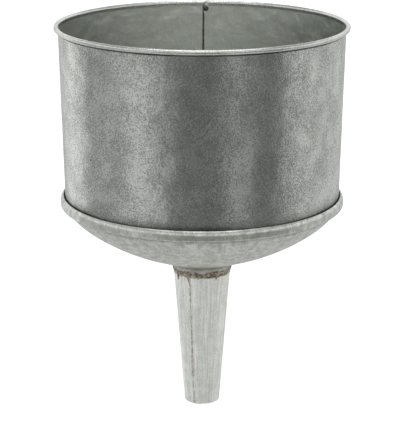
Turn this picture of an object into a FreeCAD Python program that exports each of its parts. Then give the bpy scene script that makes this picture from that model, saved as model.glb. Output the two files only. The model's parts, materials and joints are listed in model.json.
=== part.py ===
import FreeCAD, Part
import math
import os
import Sketcher
from FreeCAD import Placement, Rotation, Vector

# A galvanised sheet-steel hopper funnel: a deep tapered hopper with a wired rim, a
# shallow pressed bowl that is double-seamed to it, and a tapered spout soldered to the
# bowl.  The spout's tip stands at the origin, +Z runs up the funnel's axis, and the
# front is -Y.  The hopper's lock seam is at the back (+Y) and the spout's lap seam is
# at the front.  Every sheet piece is drawn as the middle line of its sheet and then
# thickened, so one cell sets the thickness of all the metal.

SIZES = {
    # all the sheet metal
    "sheet_thickness": 0.6,
    "sheet_gap": 0.05,
    # hopper: outside radii, and heights above the spout's tip
    "overall_height": 344.3,
    "rim_radius": 127.0,
    "wire_diameter": 2.8,
    "wire_clearance": 0.15,
    "curl_edge_angle": -122,
    "curl_join_angle": 182,
    "rim_neck_drop": 2.9,
    "wall_top_radius": 123.4,
    "wall_foot_radius": 120.0,
    # double seam between hopper and bowl
    "seam_radius": 124.1,
    "seam_ring_width": 3.0,
    "seam_top_height": 194.7,
    "seam_shelf_height": 185.6,
    "seam_corner_radius": 1.2,
    "flange_tip_drop": 1.7,
    "hem_depth": 4.0,
    # bowl: slopes are measured from the horizontal
    "crease_radius": 121.2,
    "shoulder_radius": 78.4,
    "dish_radius": 189.0,
    "throat_radius": 15.2,
    "shoulder_slope": 54.5,
    "dish_slope": 36,
    "cone_slope": 21.2,
    "collar_slope": 85.55,
    "collar_radius": 24.15,
    "collar_depth": 8.0,
    # spout
    "spout_height": 123.4,
    "spout_top_radius": 25.1,
    "spout_tip_radius": 15.5,
    "lap_edge_angle": -115,
    "lap_bend_angle": -94.5,
    "lap_foot_angle": -91,
    "lap_hidden_angle": 263.5,
    # lock seam up the back of the hopper
    "lock_width": 7.0,
    "lock_reach": 9.0,
    "lock_bend": 1.9,
    "lock_bottom_height": 196.5,
    "lock_top_height": 339.6,
    "lock_turn": -2.5,
    "notch_radius": 2.6,
    "notch_side": -1.8,
    "notch_height": 337.3,
    # solder
    "solder_leg": 2.6,
    "solder_crown": 1.1,
    "joint_solder_slope": 52,
    "seam_solder_angle": 5,
}

doc = FreeCAD.newDocument("HopperFunnel")
sheet = doc.addObject("Spreadsheet::Sheet", "Sizes")
for row, (alias, size) in enumerate(SIZES.items(), start=1):
    sheet.set(f"A{row}", alias.replace("_", " "))
    sheet.set(f"B{row}", str(size))
    sheet.setAlias(f"B{row}", alias)
doc.recompute()

UPRIGHT = Placement(Vector(), Rotation(Vector(1, 0, 0), 90))
AXIS = Vector(0, 0, 1)
LAYER = "(Sizes.sheet_thickness + Sizes.sheet_gap)"


def value(formula):
    """Work out a formula of the sheet's cells."""
    return float(sheet.evalExpression(formula))


class Chain:
    """Lines and arcs drawn end to end in a sketch, each size bound to a formula."""

    def __init__(self, name, placement=UPRIGHT):
        self.sketch = doc.addObject("Sketcher::SketchObject", name)
        self.sketch.Placement = placement
        self.first = None
        self.last = None
        self.at = Vector()

    def bind(self, kind, *terms):
        """Add a constraint whose last term is a formula."""
        formula = terms[-1]
        constraint = Sketcher.Constraint(kind, *terms[:-1], value(formula))
        index = self.sketch.addConstraint(constraint)
        self.sketch.setExpression(f"Constraints[{index}]", formula)

    def join(self, geometry, begin):
        """Tie the new piece's beginning to the end of the piece before it."""
        if self.last is None:
            self.first = (geometry, begin)
            self.bind("DistanceX", -1, 1, geometry, begin, self.start_x)
            self.bind("DistanceY", -1, 1, geometry, begin, self.start_y)
        else:
            self.sketch.addConstraint(
                Sketcher.Constraint("Coincident", *self.last, geometry, begin))

    def start(self, x, y):
        """Put the chain's first point."""
        self.start_x, self.start_y = x, y
        self.at = Vector(value(x), value(y), 0)
        return self

    def line(self, dx, dy):
        """Draw a straight run by its reach along each axis."""
        end = self.at + Vector(value(dx), value(dy), 0)
        geometry = self.sketch.addGeometry(Part.LineSegment(self.at, end))
        self.join(geometry, 1)
        self.bind("DistanceX", geometry, 1, geometry, 2, dx)
        self.bind("DistanceY", geometry, 1, geometry, 2, dy)
        self.last, self.at = (geometry, 2), end
        return self

    def line_to(self, x, y):
        """Draw a straight run to a point measured from the origin."""
        end = Vector(value(x), value(y), 0)
        geometry = self.sketch.addGeometry(Part.LineSegment(self.at, end))
        self.join(geometry, 1)
        self.bind("DistanceX", -1, 1, geometry, 2, x)
        self.bind("DistanceY", -1, 1, geometry, 2, y)
        self.last, self.at = (geometry, 2), end
        return self

    def arc(self, radius, begin_angle, end_angle):
        """Draw an arc between two directions from its centre, in degrees."""
        turn = value(end_angle) - value(begin_angle)
        begin_out = f"cos({begin_angle}) * ({radius})", f"sin({begin_angle}) * ({radius})"
        end_out = f"cos({end_angle}) * ({radius})", f"sin({end_angle}) * ({radius})"
        centre = self.at - Vector(value(begin_out[0]), value(begin_out[1]), 0)
        end = centre + Vector(value(end_out[0]), value(end_out[1]), 0)
        low, high = (begin_angle, end_angle) if turn > 0 else (end_angle, begin_angle)
        circle = Part.Circle(centre, Vector(0, 0, 1), value(radius))
        curve = Part.ArcOfCircle(circle, math.radians(value(low)), math.radians(value(high)))
        geometry = self.sketch.addGeometry(curve)
        begin, finish = (1, 2) if turn > 0 else (2, 1)
        self.join(geometry, begin)
        self.bind("DistanceX", geometry, 3, geometry, begin, begin_out[0])
        self.bind("DistanceY", geometry, 3, geometry, begin, begin_out[1])
        # the radius is set by now, so one more size places the arc's end
        flat = abs(end.y - centre.y) < abs(end.x - centre.x)
        kind, reach = ("DistanceY", end_out[1]) if flat else ("DistanceX", end_out[0])
        self.bind(kind, geometry, 3, geometry, finish, reach)
        self.last, self.at = (geometry, finish), end
        return self

    def close(self):
        """Draw the last straight run, back to the first point."""
        first_point = Vector(value(self.start_x), value(self.start_y), 0)
        geometry = self.sketch.addGeometry(Part.LineSegment(self.at, first_point))
        for end, other in ((1, self.last), (2, self.first)):
            self.sketch.addConstraint(Sketcher.Constraint("Coincident", geometry, end, *other))
        return self.sketch


def thicken(sketch, name, fill=True):
    """Give a sheet's middle line the sheet's thickness."""
    strip = doc.addObject("Part::Offset2D", name)
    strip.Source = sketch
    strip.Mode = "Pipe"
    strip.Join = "Intersection"
    strip.Fill = fill
    strip.setExpression("Value", "Sizes.sheet_thickness / 2")
    return strip


def revolve(profile, name):
    """Turn a profile once round the funnel's axis."""
    ring = doc.addObject("Part::Revolution", name)
    ring.Source = profile
    ring.Axis = AXIS
    ring.Angle = 360
    ring.Solid = True
    return ring


def cut(base, tools, name):
    """Take each tool away from the base in turn."""
    for number, tool in enumerate(tools, start=1):
        left = doc.addObject("Part::Cut", name if number == len(tools) else f"{name}_less_{number}")
        left.Base, left.Tool = base, tool
        base = left
    return base


# ---- formulas that several pieces share ---------------------------------------------
HALF = "Sizes.sheet_thickness / 2"
BEAD_OUT = "(Sizes.wire_diameter / 2 + Sizes.wire_clearance + Sizes.sheet_thickness)"
BEAD_MID = f"({BEAD_OUT} - {HALF})"
BEAD_X = f"(Sizes.rim_radius - {BEAD_OUT})"
BEAD_Z = f"(Sizes.overall_height - {BEAD_OUT})"
WALL_TOP_X = f"(Sizes.wall_top_radius - {HALF})"
WALL_TOP_Z = f"({BEAD_Z} - Sizes.rim_neck_drop)"
WALL_FOOT_X = f"(Sizes.wall_foot_radius - {HALF})"
FLANGE_X = "(Sizes.seam_radius - Sizes.seam_ring_width / 2)"
TURN_RADIUS = f"(({FLANGE_X} - {WALL_FOOT_X}) / 2)"
TURN_Z = f"(Sizes.seam_shelf_height + {LAYER} + {HALF} + {TURN_RADIUS})"
FOLD_RADIUS = "((Sizes.seam_ring_width - Sizes.sheet_thickness) / 2)"
FOLD_Z = "(Sizes.seam_top_height - Sizes.seam_ring_width / 2)"
CREASE_X = f"(Sizes.crease_radius - {HALF})"
SHELF_Z = f"(Sizes.seam_shelf_height + {HALF})"


def wall_middle(height):
    """The radius of the hopper wall's middle line at a height."""
    climb = f"(({height}) - {TURN_Z}) / ({WALL_TOP_Z} - {TURN_Z})"
    return f"({WALL_FOOT_X} + ({WALL_TOP_X} - {WALL_FOOT_X}) * {climb})"


# ---- hopper wall: curl, tapered wall and the flange turned up inside the double seam --
wall_line = (
    Chain("wall_line")
    .start(f"{BEAD_X} + {BEAD_MID} * cos(Sizes.curl_edge_angle)",
           f"{BEAD_Z} + {BEAD_MID} * sin(Sizes.curl_edge_angle)")
    .arc(BEAD_MID, "Sizes.curl_edge_angle", "Sizes.curl_join_angle")
    .line_to(WALL_TOP_X, WALL_TOP_Z)
    .line_to(WALL_FOOT_X, TURN_Z)
    .arc(TURN_RADIUS, "180", "360")
    .line("0", f"Sizes.seam_top_height - Sizes.flange_tip_drop - {TURN_Z}")
    .sketch
)
wall_ring = revolve(thicken(wall_line, "wall_section"), "wall_ring")

# The lock seam's two hooks are drawn in plan and swept up the slope of the wall.
LOCK_Y = wall_middle("Sizes.lock_bottom_height")
LOCK_FOOT = f"sqrt({LOCK_Y} ^ 2 - Sizes.lock_reach ^ 2)"
LOCK_EDGE = f"(Sizes.lock_width / 2 - {LAYER})"
LOCK_TIP = f"({LOCK_EDGE} - 2 * {LAYER})"
plan = Placement(Vector(0, 0, value("Sizes.lock_bottom_height")), Rotation())
over_hook = (
    Chain("over_hook_line", plan)
    .start("-Sizes.lock_reach", LOCK_FOOT)
    .line_to("-Sizes.lock_width / 2 - Sizes.lock_bend", LOCK_Y)
    .line_to(f"-Sizes.lock_width / 2 - {LAYER}", f"{LOCK_Y} + 3 * {LAYER}")
    .line_to(LOCK_EDGE, f"{LOCK_Y} + 3 * {LAYER}")
    .arc(LAYER, "90", "-90")
    .line(f"-{LOCK_EDGE} - {LOCK_TIP}", "0")
    .sketch
)
under_hook = (
    Chain("under_hook_line", plan)
    .start("Sizes.lock_reach", LOCK_FOOT)
    .line_to(f"-{LOCK_EDGE}", LOCK_Y)
    .arc(LAYER, "-90", "-270")
    .line(f"{LOCK_EDGE} + {LOCK_TIP}", "0")
    .sketch
)
for hook in (over_hook, under_hook):
    hook.setExpression("Placement.Base.z", "Sizes.lock_bottom_height")


def up_the_wall(profile, name):
    """Sweep a plan shape up the back of the wall, along its slope."""
    strip = doc.addObject("Part::Extrusion", name)
    strip.Base = profile
    strip.DirMode = "Custom"
    strip.Dir = Vector(0, 0, 1)
    strip.Solid = True
    rise = "(Sizes.lock_top_height - Sizes.lock_bottom_height)"
    drift = f"({wall_middle('Sizes.lock_top_height')} - {LOCK_Y})"
    strip.setExpression("Dir.y", f"{drift} / {rise}")
    strip.setExpression("LengthFwd", f"sqrt({rise} ^ 2 + {drift} ^ 2)")
    return strip


def turned(piece):
    """Turn a piece with the lock seam a little to the side of straight behind."""
    piece.setExpression("Placement.Rotation.Yaw", "Sizes.lock_turn * 1deg")
    return piece


over_strip = up_the_wall(thicken(over_hook, "over_hook_section"), "over_strip")
under_strip = up_the_wall(thicken(under_hook, "under_hook_section"), "under_strip")

slot = doc.addObject("Part::Box", "lock_slot")
slot.setExpression("Length", "2 * Sizes.lock_reach - 2 * Sizes.sheet_thickness")
slot.setExpression("Width", "4 * Sizes.lock_reach")
slot.setExpression(
    "Height", "Sizes.lock_top_height - Sizes.lock_bottom_height - 2 * Sizes.sheet_thickness")
slot.setExpression("Placement.Base.x", "Sizes.sheet_thickness - Sizes.lock_reach")
slot.setExpression("Placement.Base.y", f"{LOCK_Y} - 2 * Sizes.lock_reach")
slot.setExpression("Placement.Base.z", "Sizes.lock_bottom_height + Sizes.sheet_thickness")

# The inner hook's corner is clipped where the wire goes in.  The outer hook is whole
# behind it, so it leaves a small round hollow in the seam's inside.
notch = doc.addObject("Part::Cylinder", "clipped_corner")
notch.Placement = Placement(Vector(), Rotation(Vector(1, 0, 0), -90))
notch.setExpression("Radius", "Sizes.notch_radius")
notch.setExpression("Height", "2 * Sizes.lock_reach")
notch.setExpression("Placement.Base.x", "Sizes.notch_side")
notch.setExpression("Placement.Base.y", f"{LOCK_Y} - Sizes.lock_reach")
notch.setExpression("Placement.Base.z", "Sizes.notch_height")

hopper_wall = doc.addObject("Part::MultiFuse", "hopper_wall")
hopper_wall.Shapes = [cut(wall_ring, [slot, notch], "slotted_ring"), over_strip,
                      cut(under_strip, [notch], "clipped_strip")]
turned(hopper_wall)

# ---- rim wire: a plain ring inside the curl -----------------------------------------
rim_wire = doc.addObject("Part::Torus", "rim_wire")
rim_wire.setExpression("Radius1", BEAD_X)
rim_wire.setExpression("Radius2", "Sizes.wire_diameter / 2")
rim_wire.setExpression("Placement.Base.z", BEAD_Z)

# ---- bowl: hem, standing ring of the double seam, dish, throat and drawn collar ------
THROAT_REACH = "(sin(Sizes.collar_slope) - sin(Sizes.cone_slope)) * Sizes.throat_radius"
SHOULDER_REACH = "(sin(Sizes.shoulder_slope) - sin(Sizes.dish_slope)) * Sizes.shoulder_radius"
DISH_REACH = "(sin(Sizes.dish_slope) - sin(Sizes.cone_slope)) * Sizes.dish_radius"
COLLAR_X = f"(Sizes.collar_radius - {HALF})"
CONE_REACH = f"({CREASE_X} - {SHOULDER_REACH} - {DISH_REACH} - {THROAT_REACH} - {COLLAR_X})"
bowl_line = (
    Chain("bowl_line")
    .start(f"{FLANGE_X} - {FOLD_RADIUS}", f"{FOLD_Z} - Sizes.hem_depth")
    .line("0", "Sizes.hem_depth")
    .arc(FOLD_RADIUS, "180", "0")
    .line("0", f"{SHELF_Z} + Sizes.seam_corner_radius - {FOLD_Z}")
    .arc("Sizes.seam_corner_radius", "0", "-90")
    .line_to(CREASE_X, SHELF_Z)
    .arc("Sizes.shoulder_radius", "Sizes.shoulder_slope - 90", "Sizes.dish_slope - 90")
    .arc("Sizes.dish_radius", "Sizes.dish_slope - 90", "Sizes.cone_slope - 90")
    .line(f"-{CONE_REACH}", f"-{CONE_REACH} * tan(Sizes.cone_slope)")
    .arc("Sizes.throat_radius", "Sizes.cone_slope + 90", "Sizes.collar_slope + 90")
    .line("-Sizes.collar_depth / tan(Sizes.collar_slope)", "-Sizes.collar_depth")
    .sketch
)
bowl = revolve(thicken(bowl_line, "bowl_section"), "bowl")

# ---- spout: one sheet rolled into a taper, its edge lapped over itself ----------------


def rolled_section(name, radius, height):
    """The rolled sheet in plan: once round, a step out, and the lap on top."""
    middle = f"({radius} - {HALF})"
    outer = f"({middle} + {LAYER})"
    chain = (
        Chain(name, Placement(Vector(0, 0, value(height)), Rotation()))
        .start(f"{middle} * cos(Sizes.lap_hidden_angle)", f"{middle} * sin(Sizes.lap_hidden_angle)")
        .arc(middle, "Sizes.lap_hidden_angle", "Sizes.lap_foot_angle")
        .line_to(f"{outer} * cos(Sizes.lap_bend_angle)", f"{outer} * sin(Sizes.lap_bend_angle)")
        .arc(outer, "Sizes.lap_bend_angle", "Sizes.lap_edge_angle")
    )
    chain.sketch.setExpression("Placement.Base.z", height)
    return thicken(chain.sketch, f"{name}_section", fill=False)


def loft(sections, name):
    """Join two plan sections with straight sides."""
    solid = doc.addObject("Part::Loft", name)
    solid.Sections = sections
    solid.Solid = True
    solid.Ruled = True
    return solid


spout = loft([rolled_section("spout_tip", "Sizes.spout_tip_radius", "0"),
              rolled_section("spout_top", "Sizes.spout_top_radius", "Sizes.spout_height")], "spout")


# ---- solder: each run is drawn a little too deep and cut back by the sheets it joins ---
LEG = "Sizes.solder_leg"

neck_ring = (
    Chain("neck_solder_line")
    .start(f"Sizes.spout_top_radius - {HALF}", f"Sizes.spout_height - 0.7 * {LEG}")
    .line_to("Sizes.spout_top_radius", f"Sizes.spout_height - 0.7 * {LEG}")
    .line_to("Sizes.spout_top_radius + Sizes.solder_crown", f"Sizes.spout_height + 0.4 * {LEG}")
    .line_to("Sizes.spout_top_radius + Sizes.solder_crown", f"Sizes.spout_height + 1.75 * {LEG}")
    .line_to(f"Sizes.spout_top_radius - 0.2 * {LEG}", f"Sizes.spout_height + 0.6 * {LEG}")
    .line_to(f"Sizes.spout_top_radius - {HALF}", f"Sizes.spout_height - 0.1 * {LEG}")
    .close()
)
neck_solder = cut(revolve(neck_ring, "neck_solder_ring"), [bowl, spout], "neck_solder")

# This fillet keeps just clear of the wall's turned edge, so it needs no cutting back.
TURN_CLEAR = f"({TURN_RADIUS} + {HALF} + 2 * Sizes.sheet_gap)"
BOWL_CLEAR = f"(Sizes.shoulder_radius - {HALF} - Sizes.sheet_gap)"


def round_turn(angle):
    """A point just clear of the wall's turned edge, in this direction from its centre."""
    return (f"{WALL_FOOT_X} + {TURN_RADIUS} + {TURN_CLEAR} * cos({angle})",
            f"{TURN_Z} + {TURN_CLEAR} * sin({angle})")


def inside_shoulder(slope):
    """A point just clear of the bowl's inner face, where the shoulder has this slope."""
    reach, rise = f"sin({slope})", f"cos({slope})"
    return (f"{CREASE_X} - Sizes.shoulder_radius * sin(Sizes.shoulder_slope) + {BOWL_CLEAR} * {reach}",
            f"{SHELF_Z} + Sizes.shoulder_radius * cos(Sizes.shoulder_slope) - {BOWL_CLEAR} * {rise}")


joint_ring = (
    Chain("bowl_joint_solder_line")
    .start(*round_turn(250))
    .line_to(*round_turn(215))
    .line_to(*round_turn(180))
    .line("0", f"0.3 * {LEG}")
    .line_to(*inside_shoulder("Sizes.joint_solder_slope"))
    .line_to(*inside_shoulder("(Sizes.shoulder_slope - 0.1)"))
    .close()
)
bowl_joint_solder = revolve(joint_ring, "bowl_joint_solder")

lock_fill = (
    Chain("hopper_seam_solder_line", plan)
    .start("-Sizes.lock_width / 2 - Sizes.lock_bend", LOCK_Y)
    .line_to("-Sizes.lock_width / 2 - 0.78 * Sizes.lock_bend", f"{LOCK_Y} + {LAYER}")
    .line_to("-Sizes.lock_width / 2", f"{LOCK_Y} + {LAYER}")
    .line_to(f"-{LOCK_EDGE}", LOCK_Y)
    .line_to(f"-{LOCK_EDGE}", f"{LOCK_Y} - {HALF} - Sizes.sheet_gap")
    .line_to("-Sizes.lock_width / 2 - Sizes.lock_bend", f"{LOCK_Y} - {HALF} - Sizes.sheet_gap")
    .close()
)
lock_fill.setExpression("Placement.Base.z", "Sizes.lock_bottom_height")
slot_fill = doc.addObject("Part::Common", "slot_fill")
slot_fill.Base = up_the_wall(lock_fill, "hopper_seam_solder_strip")
slot_fill.Tool = slot
hopper_seam_solder = turned(cut(slot_fill, [over_strip, under_strip, notch], "hopper_seam_solder"))


def lap_fillet(name, radius, height):
    """The solder that fills the step of the spout's lap, in plan."""
    edge = "Sizes.lap_edge_angle"
    corners = [
        (f"({radius} - {HALF})", edge),
        (f"({radius} - {HALF} + {LAYER})", edge),
        (f"({radius} + Sizes.sheet_thickness)", f"({edge} - 0.3 * Sizes.seam_solder_angle)"),
        (f"({radius} + Sizes.sheet_gap)", f"({edge} - Sizes.seam_solder_angle)"),
        (f"({radius} - {HALF})", f"({edge} - Sizes.seam_solder_angle)"),
    ]
    points = [(f"{reach} * cos({angle})", f"{reach} * sin({angle})") for reach, angle in corners]
    chain = Chain(name, Placement(Vector(0, 0, value(height)), Rotation())).start(*points[0])
    for point in points[1:]:
        chain.line_to(*point)
    sketch = chain.close()
    sketch.setExpression("Placement.Base.z", height)
    return sketch


lap_strip = loft([lap_fillet("lap_solder_tip", "Sizes.spout_tip_radius", "0"),
                  lap_fillet("lap_solder_top", "Sizes.spout_top_radius", "Sizes.spout_height")],
                 "lap_solder_strip")
spout_seam_solder = cut(lap_strip, [spout, neck_solder], "spout_seam_solder")

# ---- check every object, then write one file for each piece ---------------------------
PIECES = [hopper_wall, rim_wire, bowl, spout, neck_solder, bowl_joint_solder,
          hopper_seam_solder, spout_seam_solder]

doc.recompute()
for item in doc.Objects:
    if "Invalid" in item.State or "Error" in item.State:
        raise RuntimeError(f"{item.Name} did not recompute: {item.State}")

os.makedirs("parts", exist_ok=True)
for piece in PIECES:
    if piece.Shape.isNull() or not piece.Shape.isValid() or len(piece.Shape.Solids) != 1:
        raise RuntimeError(f"{piece.Name} is not one valid solid")
    piece.Label = piece.Name
    piece.Shape.exportStep(f"parts/{piece.Label}.step")
    print(f"{piece.Label}: {piece.Shape.Volume:.0f} mm3")
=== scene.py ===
"""The looks of a galvanised hopper funnel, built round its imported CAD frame.

The funnel stands on its spout's tip at the origin, with +Z up its axis and -Y as its
front.  Each sub-assembly is a class that makes its own meshes and dresses them: the
hopper with its wired rim and lock seam, the bowl with the standing ring of its double
seam, and the tapered spout with its lap seam and solder.  Sizes are in mm, and become
metres where a mesh or a pattern is made.
"""

import bpy
import bmesh
import json
import logging
import math
from dataclasses import dataclass, field
from enum import Enum
from typing import Optional, Sequence

import numpy as np
from bpy.types import Material, Mesh, Node, NodeSocket, NodeTree, Object
from mathutils import Euler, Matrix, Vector

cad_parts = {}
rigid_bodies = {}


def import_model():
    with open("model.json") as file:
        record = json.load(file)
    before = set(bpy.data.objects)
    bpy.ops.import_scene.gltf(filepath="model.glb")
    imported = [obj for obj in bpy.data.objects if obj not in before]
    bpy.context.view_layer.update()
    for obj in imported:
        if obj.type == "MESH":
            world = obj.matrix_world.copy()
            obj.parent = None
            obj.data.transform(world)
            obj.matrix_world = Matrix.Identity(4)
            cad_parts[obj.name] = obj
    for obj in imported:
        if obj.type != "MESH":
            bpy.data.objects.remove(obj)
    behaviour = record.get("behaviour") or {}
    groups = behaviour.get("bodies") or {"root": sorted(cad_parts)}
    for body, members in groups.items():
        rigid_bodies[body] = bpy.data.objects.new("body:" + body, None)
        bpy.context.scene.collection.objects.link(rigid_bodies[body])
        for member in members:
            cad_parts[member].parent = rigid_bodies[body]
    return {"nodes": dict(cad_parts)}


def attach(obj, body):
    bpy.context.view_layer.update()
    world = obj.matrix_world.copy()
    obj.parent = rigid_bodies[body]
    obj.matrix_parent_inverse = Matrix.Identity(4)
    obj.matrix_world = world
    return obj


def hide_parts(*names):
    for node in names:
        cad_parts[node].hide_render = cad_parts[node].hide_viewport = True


MM = 0.001
CREASE = math.radians(38.0)
BODY = "root"
Colour = tuple[float, float, float]
Point = tuple[float, float]
# Near-black painted where shade falls: in creases, hollows, slits and under the curl.
PAINTED_SHADE_COLOUR: Colour = (0.020, 0.019, 0.016)
SCRATCH: Colour = (0.9, 0.9, 0.88)
WHITE: Colour = (1.0, 1.0, 1.0)

log = logging.getLogger("hopper_funnel")


# ---- node trees ---------------------------------------------------------------------


class NodeWriter:
    """A short way to write node trees, with inputs given as sockets or plain values."""

    def __init__(self, tree: NodeTree) -> None:
        """Write into a tree.

        Args:
            tree: The node tree to fill.
        """
        self.tree = tree

    def node(self, kind: str, inputs: Optional[dict] = None, **settings) -> Node:
        """Add a node, set its properties and feed its inputs.

        Args:
            kind: The node's type.
            inputs: Input name or number to a node, which gives its first output, or to an
                output socket or a plain value.
            settings: Properties of the node.

        Returns:
            The new node.
        """
        made = self.tree.nodes.new(kind)
        for name, setting in settings.items():
            setattr(made, name, setting)
        for key, source in (inputs or {}).items():
            if isinstance(source, Node):
                source = source.outputs[0]
            if isinstance(source, NodeSocket):
                self.tree.links.new(source, made.inputs[key])
            else:
                made.inputs[key].default_value = source
        return made

    def math(self, operation: str, first: object, second: object = 0.0) -> NodeSocket:
        """Add a math node.

        Args:
            operation: The operation's name.
            first: The first number or socket.
            second: The second number or socket.

        Returns:
            The result's socket.
        """
        return self.node("ShaderNodeMath", {0: first, 1: second}, operation=operation).outputs[0]

    def smooth_step(self, value: object, low: float, high: float) -> NodeSocket:
        """Turn a value into 0 below one bound and 1 above another, with a soft change.

        Args:
            value: The value's socket.
            low: Where the result is 0.
            high: Where the result is 1.

        Returns:
            The result's socket.
        """
        return self.node("ShaderNodeMapRange", {0: value, 1: low, 2: high},
                         interpolation_type="SMOOTHSTEP").outputs[0]

    def mix(self, share: object, first: object, second: object) -> NodeSocket:
        """Blend two colours, from the first, at a share of 0, to the second, at 1."""
        return self.node("ShaderNodeMix", {0: share, 6: first, 7: second},
                         data_type="RGBA").outputs[2]

    def vector(self, operation: str, inputs: dict) -> Node:
        """Add a vector math node."""
        return self.node("ShaderNodeVectorMath", inputs, operation=operation)


class ShapeTree(NodeWriter):
    """A geometry node tree with named inputs, applied to give a plain mesh."""

    def __init__(self, name: str, **inputs: str) -> None:
        """Start a tree.

        Args:
            name: Name of the tree.
            inputs: Input name, with underscores for spaces, to its kind of socket.
        """
        super().__init__(bpy.data.node_groups.new(name, "GeometryNodeTree"))
        self.ids: dict[str, str] = {}
        for label, kind in {"Geometry": "Geometry", **inputs, "Material": "Material"}.items():
            socket = self.tree.interface.new_socket(label.replace("_", " "), in_out="INPUT",
                                                    socket_type=f"NodeSocket{kind}")
            self.ids[label] = socket.identifier
        self.tree.interface.new_socket("Geometry", in_out="OUTPUT",
                                       socket_type="NodeSocketGeometry")
        self.group = self.node("NodeGroupInput")

    def input(self, label: str) -> NodeSocket:
        """Give the socket of a named input."""
        return self.group.outputs[label.replace("_", " ")]

    def level_place(self) -> Node:
        """Give each corner's place with its height left out."""
        at = self.node("GeometryNodeInputPosition")
        return self.vector("MULTIPLY", {0: at, 1: (1.0, 1.0, 0.0)})

    def finish(self, geometry: Node) -> None:
        """End the tree in Realize Instances and Set Material.

        Args:
            geometry: What the tree has made.
        """
        real = self.node("GeometryNodeRealizeInstances", {"Geometry": geometry})
        worn = self.node("GeometryNodeSetMaterial",
                         {"Geometry": real, "Material": self.input("Material")})
        self.node("NodeGroupOutput", {"Geometry": worn})

    def apply(self, name: str, guide: Mesh, **values: object) -> Object:
        """Run the tree on a guide mesh and keep the result as a plain object.

        Args:
            name: Name of the finished piece.
            guide: The mesh that the tree starts from.
            values: Input name to value.

        Returns:
            The finished piece.
        """
        carrier = link_object(f"{name}_guide", guide)
        modifier = carrier.modifiers.new(self.tree.name, "NODES")
        modifier.node_group = self.tree
        for label, setting in values.items():
            modifier[self.ids[label]] = setting
        graph = bpy.context.evaluated_depsgraph_get()
        mesh = bpy.data.meshes.new_from_object(carrier.evaluated_get(graph), depsgraph=graph)
        carrier.modifiers.remove(modifier)
        bpy.data.objects.remove(carrier)
        mesh.name = name
        return link_object(name, mesh)


def link_object(name: str, mesh: Mesh) -> Object:
    """Put a mesh into the scene as an object at the origin.

    Args:
        name: The object's name.
        mesh: Its mesh.

    Returns:
        The object.
    """
    thing = bpy.data.objects.new(name, mesh)
    bpy.context.scene.collection.objects.link(thing)
    return thing


def shell_mesh(name: str, points: np.ndarray, faces: list[tuple[int, ...]]) -> Mesh:
    """Make a mesh whose faces all point outwards.

    Args:
        name: The mesh's name.
        points: Its corners, one row each.
        faces: Its faces, as corner numbers.

    Returns:
        The mesh.
    """
    mesh = bpy.data.meshes.new(name)
    mesh.from_pydata(points.tolist(), [], faces)
    return tidy_shell(mesh)


def tidy_shell(mesh: Mesh) -> Mesh:
    """Merge doubles, point faces outwards and shade smooth up to a crease.

    Args:
        mesh: The closed mesh to tidy.

    Returns:
        The same mesh.
    """
    shell = bmesh.new()
    shell.from_mesh(mesh)
    bmesh.ops.remove_doubles(shell, verts=shell.verts, dist=0.001 * MM)
    bmesh.ops.recalc_face_normals(shell, faces=shell.faces)
    if shell.calc_volume(signed=True) < 0:
        bmesh.ops.reverse_faces(shell, faces=shell.faces)
    shell.to_mesh(mesh)
    shell.free()
    mesh.polygons.foreach_set("use_smooth", [True] * len(mesh.polygons))
    mesh.set_sharp_from_angle(angle=CREASE)
    return mesh


# ---- sheet outlines -----------------------------------------------------------------


class MiddleLine:
    """The middle line of a sheet in section: radius outwards and height upwards, in mm."""

    def __init__(self, radius: float, height: float) -> None:
        """Start the line at a radius and a height."""
        self.points: list[Point] = [(radius, height)]

    def line_to(self, radius: float, height: float, step: float = 4.0) -> "MiddleLine":
        """Run straight to a point, with points along the way.

        Args:
            radius: Radius of the run's end.
            height: Height of the run's end.
            step: Longest distance between points.

        Returns:
            The line itself, so that calls can follow each other.
        """
        start = np.array(self.points[-1])
        end = np.array((radius, height))
        count = max(1, math.ceil(math.dist(start, end) / step - 1e-6))
        for index in range(1, count + 1):
            self.points.append(tuple(start + (end - start) * index / count))
        return self

    def arc(self, size: float, begin: float, end: float, step: float = 15.0) -> "MiddleLine":
        """Turn along an arc that starts where the line is now.

        Args:
            size: Radius of the arc.
            begin: Direction from the centre to the line's end, in degrees.
            end: Direction from the centre to the arc's end, in degrees.
            step: Largest turn between points, in degrees.

        Returns:
            The line itself.
        """
        first = math.radians(begin)
        centre = (self.points[-1][0] - size * math.cos(first),
                  self.points[-1][1] - size * math.sin(first))
        count = max(1, math.ceil(abs(end - begin) / step - 1e-6))
        for index in range(1, count + 1):
            angle = math.radians(begin + (end - begin) * index / count)
            self.points.append((centre[0] + size * math.cos(angle),
                                centre[1] + size * math.sin(angle)))
        return self

    def thicken(self, thickness: float) -> list[Point]:
        """Give the line a sheet's thickness.

        Args:
            thickness: Thickness of the sheet.

        Returns:
            The corners of the closed outline, one side and then the other.
        """
        line = np.array(self.points)
        along = np.gradient(line, axis=0)
        along /= np.linalg.norm(along, axis=1)[:, None]
        side = np.stack([-along[:, 1], along[:, 0]], axis=1) * thickness / 2
        return [tuple(point) for point in np.concatenate([line + side, (line - side)[::-1]])]


def outline_mesh(name: str, corners: Sequence[Point]) -> Mesh:
    """Make the closed loop of edges that a section curve is read from.

    Args:
        name: The mesh's name.
        corners: Radius and height of each corner, in mm.

    Returns:
        The loop, laid flat with its height reversed, as a curve's section needs it.
    """
    count = len(corners)
    mesh = bpy.data.meshes.new(name)
    mesh.from_pydata([(radius * MM, -height * MM, 0.0) for radius, height in corners],
                     [(index, (index + 1) % count) for index in range(count)], [])
    return mesh


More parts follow.
